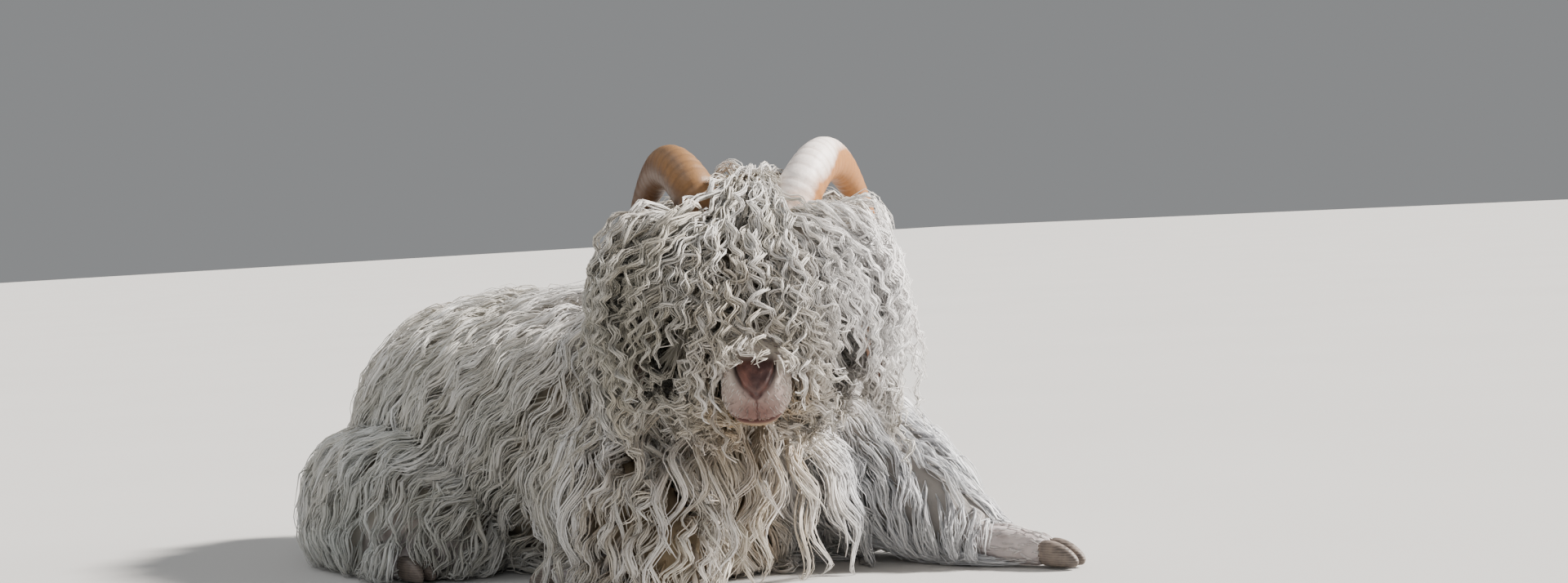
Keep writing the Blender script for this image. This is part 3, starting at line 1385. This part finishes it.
def eye_finish():
    """An amber iris round a dark level pupil, below a clear wet surface."""
    finish = Finish("wet_eye")
    view, pupil = finish.attribute("view"), finish.attribute("pupil")
    streaks = finish.cloud(700.0, 3.0, 0.3, 0.7)
    colour = finish.mix(streaks, IRIS_BROWN, IRIS_AMBER)
    colour = finish.mix(finish.clamp(view, 0.75, 1.0), colour, IRIS_EDGE)
    colour = finish.mix(finish.clamp(view, 1.0, 1.12), colour, EYE_WHITE)
    colour = finish.mix(finish.clamp(pupil, 1.15, 0.9), colour, PUPIL_BLACK)
    return finish.done(colour, 0.08 + streaks * 0.05, None,
                       {"Coat Weight": 1.0, "Coat Roughness": 0.03})


def put_on(thing, material):
    thing.data.materials.clear()
    thing.data.materials.append(material)
    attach(thing, "root")


# The stand-in studio: floor, light and camera

FLOOR_DARK, FLOOR_PALE = (0.52, 0.51, 0.495), (0.57, 0.56, 0.545)
SKY_COLOUR, SKY_STRENGTH = (0.93, 0.95, 0.97, 1), 0.28
# Each light's direction, strength, softness in degrees and colour
LIGHTS = {
    "key": ((1.65, -1.05, 1.45), 12.5, 8, (1.0, 0.95, 0.89)),
    "side": ((1.70, -1.30, 0.55), 2.2, 30, (1.0, 0.97, 0.94)),
    "fill": ((-1.9, -2.0, 1.5), 0.30, 50, (0.95, 0.98, 1.0)),
    "top": ((-0.8, 0.9, 2.2), 0.9, 40, (0.98, 0.99, 1.0)),
}
CAMERA_PLACE = (-1.419, -2.037, 0.38)
CAMERA_TURN = math.radians(40)
CAMERA_DIP = math.radians(1.996)
CAMERA_ROLL = math.radians(3.0)
LENS_MM, SENSOR_MM = 49.35, 36.0


def make_floor():
    bpy.ops.mesh.primitive_plane_add(size=60, location=(0, 0, -0.0005))
    floor = bpy.context.object
    floor.name = "floor"
    finish = Finish("pale_floor")
    colour = finish.mix(finish.noise(1.5, 2.0), FLOOR_DARK, FLOOR_PALE)
    floor.data.materials.append(finish.done(colour, 0.9))


def make_light():
    world = bpy.data.worlds.new("studio")
    world.use_nodes = True
    sky = world.node_tree.nodes["Background"]
    sky.inputs[0].default_value = SKY_COLOUR
    sky.inputs[1].default_value = SKY_STRENGTH
    bpy.context.scene.world = world
    for name, (way, strength, softness, colour) in LIGHTS.items():
        data = bpy.data.lights.new(name, "SUN")
        data.energy, data.angle, data.color = strength, math.radians(softness), colour
        lamp = link(bpy.data.objects.new(name, data))
        lamp.rotation_euler = Vector(way).to_track_quat("Z", "Y").to_euler()


def make_camera():
    data = bpy.data.cameras.new("camera")
    data.lens, data.sensor_width = LENS_MM, SENSOR_MM
    camera = link(bpy.data.objects.new("camera", data))
    turn = Matrix.Rotation(-CAMERA_TURN, 4, "Z") @ Matrix.Rotation(math.pi / 2 - CAMERA_DIP, 4, "X")
    camera.matrix_world = (Matrix.Translation(CAMERA_PLACE) @ turn
                           @ Matrix.Rotation(-CAMERA_ROLL, 4, "Z"))
    bpy.context.scene.camera = camera


# The whole goat

SKIN_SAMPLES, EAR_SAMPLES = 90000, 1500
# Seeds of the random draws: a side's or a kind's own number is added to the last three
SKIN_SEED, LOCK_SEED, EXTRA_SEED = 5, 9, 12
EAR_SEED, EAR_LOCK_SEED, STRAND_SEED = 15, 30, 100
# Kinds that hang over the mop's shape, and the kinds that grow once more among the head's locks
MOP_KINDS = ("topknot", "tuft", "temple", "brow", "cheek", "ear")
EXTRA_KINDS = {"crown": on_crown, "temple": on_temple, "tuft": on_tuft}


def coat_guides(skin, ears, trees):
    """The guides of all locks on the skin and ears, by kind."""
    mop, breast = head_form("mop_shape"), breast_shape()
    mop_under = search_tree([skin, mop, *ears.values()])
    unders = {kind: mop_under for kind in MOP_KINDS}
    unders["chest"] = search_tree([skin, breast, *ears.values()])
    unders["skin"] = search_tree([skin, *ears.values()])
    bpy.data.objects.remove(mop)
    bpy.data.objects.remove(breast)

    samples = skin_samples(skin, SKIN_SAMPLES, SKIN_SEED)
    places = [Vector(spot) for spot in samples[0]]
    kinds = [kind_of(place, part_at(trees, place)) for place in places]
    guides = grow_guides(samples, kinds, range(len(places)), unders, LOCK_SEED)
    for kind, rule in EXTRA_KINDS.items():
        extra = [kind if known in ("topknot", "brow", "cheek") and rule(*head_place(place))
                 else None for known, place in zip(kinds, places)]
        backwards = range(len(places) - 1, -1, -1)
        guides |= grow_guides(samples, extra, backwards, unders, EXTRA_SEED)
    for side, ear in ears.items():
        samples = skin_samples(ear, EAR_SAMPLES, EAR_SEED + side)
        kinds = ["ear" if n.dot(LEFT_WAY) * side > -0.1 or n.dot(HEADING) > 0.25 else None
                 for n in map(Vector, samples[1])]
        found = grow_guides(samples, kinds, range(EAR_SAMPLES), unders, EAR_LOCK_SEED + side)
        guides["ear_" + SIDES[side]] = found["ear"]
    return guides


def add_coat(guides):
    mohair, short_hair = mohair_finish(), short_hair_finish()
    for number, (kind, found) in enumerate(sorted(guides.items())):
        style = "ear" if kind.startswith("ear") else kind
        cores, strands = make_strands(found, style, STRAND_SEED + number)
        for piece in coat_pieces(kind + "_cores", cores) + coat_pieces(kind, strands):
            put_on(piece, short_hair if kind in ("muzzle", "shank") else mohair)


def main():
    forms = flesh_forms()
    trees = {form.name.split(".")[0]: search_tree([form]) for form in forms}
    skin = make_skin(forms)
    sculpt_face(skin)
    unwrap(skin)
    skin.data.shade_smooth()
    ears = {side: make_ear(side) for side in SIDES}
    for ear in ears.values():
        unwrap(ear)
    add_coat(coat_guides(skin, ears, trees))

    put_on(skin, skin_finish())
    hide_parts("torso", "neck", "head", "tail", "foreleg_left", "foreleg_right",
                "hindleg_left", "hindleg_right")
    for side, name in SIDES.items():
        put_on(ears[side], ear_finish("ear_" + name + "_finish", *EAR_TIP[side]))
        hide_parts("ear_" + name)
        horn = make_horn(side)
        put_on(horn, horn_finish("horn_" + name + "_finish", *HORN_COLOURS[side]))
        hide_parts("horn_" + name)
        eye = make_eye(side)
        put_on(eye, eye_finish())
        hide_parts("eye_" + name)
    hoof = hoof_finish()
    for node in sorted(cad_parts):
        if "_hoof_" in node:
            claw = make_claw(node)
            put_on(claw, hoof)
            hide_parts(node)
    make_floor()
    make_light()
    make_camera()


main()
